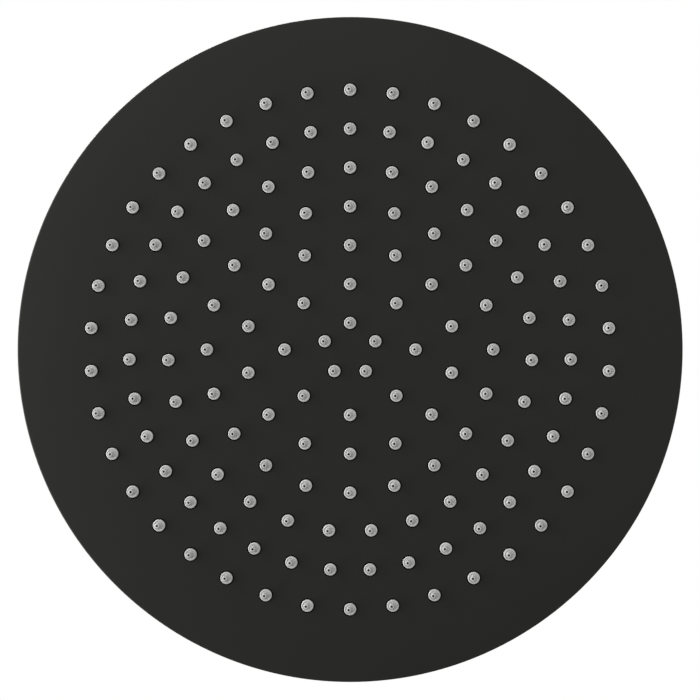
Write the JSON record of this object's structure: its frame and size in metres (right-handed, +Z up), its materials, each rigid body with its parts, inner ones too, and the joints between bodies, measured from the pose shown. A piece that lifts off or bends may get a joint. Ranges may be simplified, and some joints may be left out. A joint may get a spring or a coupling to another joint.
{
  "type": "round overhead shower head",
  "caption": "Slim round overhead shower head in matt black with single grey silicone nozzles, on a ball joint with a threaded inlet.",
  "frame": {"origin": "middle of the inlet's mouth, on the axis of the thread", "axes": "+Z points up out of the inlet along the head's axis when the head hangs level, the nozzles point down to -Z, and +Y points to the nozzle that every ring starts with"},
  "size_m": [0.3, 0.3, 0.051],
  "materials": {
    "matt_black": "matt",
    "grey_silicone": "satin",
    "bare_steel": "brushed",
    "bare_brass": "turned",
    "white_acetal": "satin",
    "black_rubber": "matt"
  },
  "bodies": {
    "inlet": {"ball_inlet": "matt_black", "filter_washer": "black_rubber", "filter_mesh": "bare_steel", "flow_restrictor": "white_acetal", "restrictor_oring": "black_rubber"},
    "slip": {"slip_ring": "white_acetal"},
    "head": {"face_plate": "matt_black", "back_plate": "matt_black", "spacer_studs": "bare_steel", "nozzle_ring_1": "grey_silicone", "nozzle_ring_2": "grey_silicone", "nozzle_ring_3": "grey_silicone", "nozzle_ring_4": "grey_silicone", "nozzle_ring_5": "grey_silicone", "nozzle_ring_6": "grey_silicone", "nozzle_ring_7": "grey_silicone", "hub_boss": "matt_black", "collar_nut": "matt_black", "ball_seal": "black_rubber", "backing_washer": "bare_brass"}
  },
  "joints": [
    {"name": "head_swivel", "type": "hinge", "parent": "inlet", "child": "slip", "pos_m": [0, 0, -0.031], "axis": [0, 0, 1], "continuous": true},
    {"name": "head_tilt", "type": "hinge", "parent": "slip", "child": "head", "pos_m": [0, 0, -0.031], "axis": [1, 0, 0], "range_deg": [-15, 15]}
  ]
}
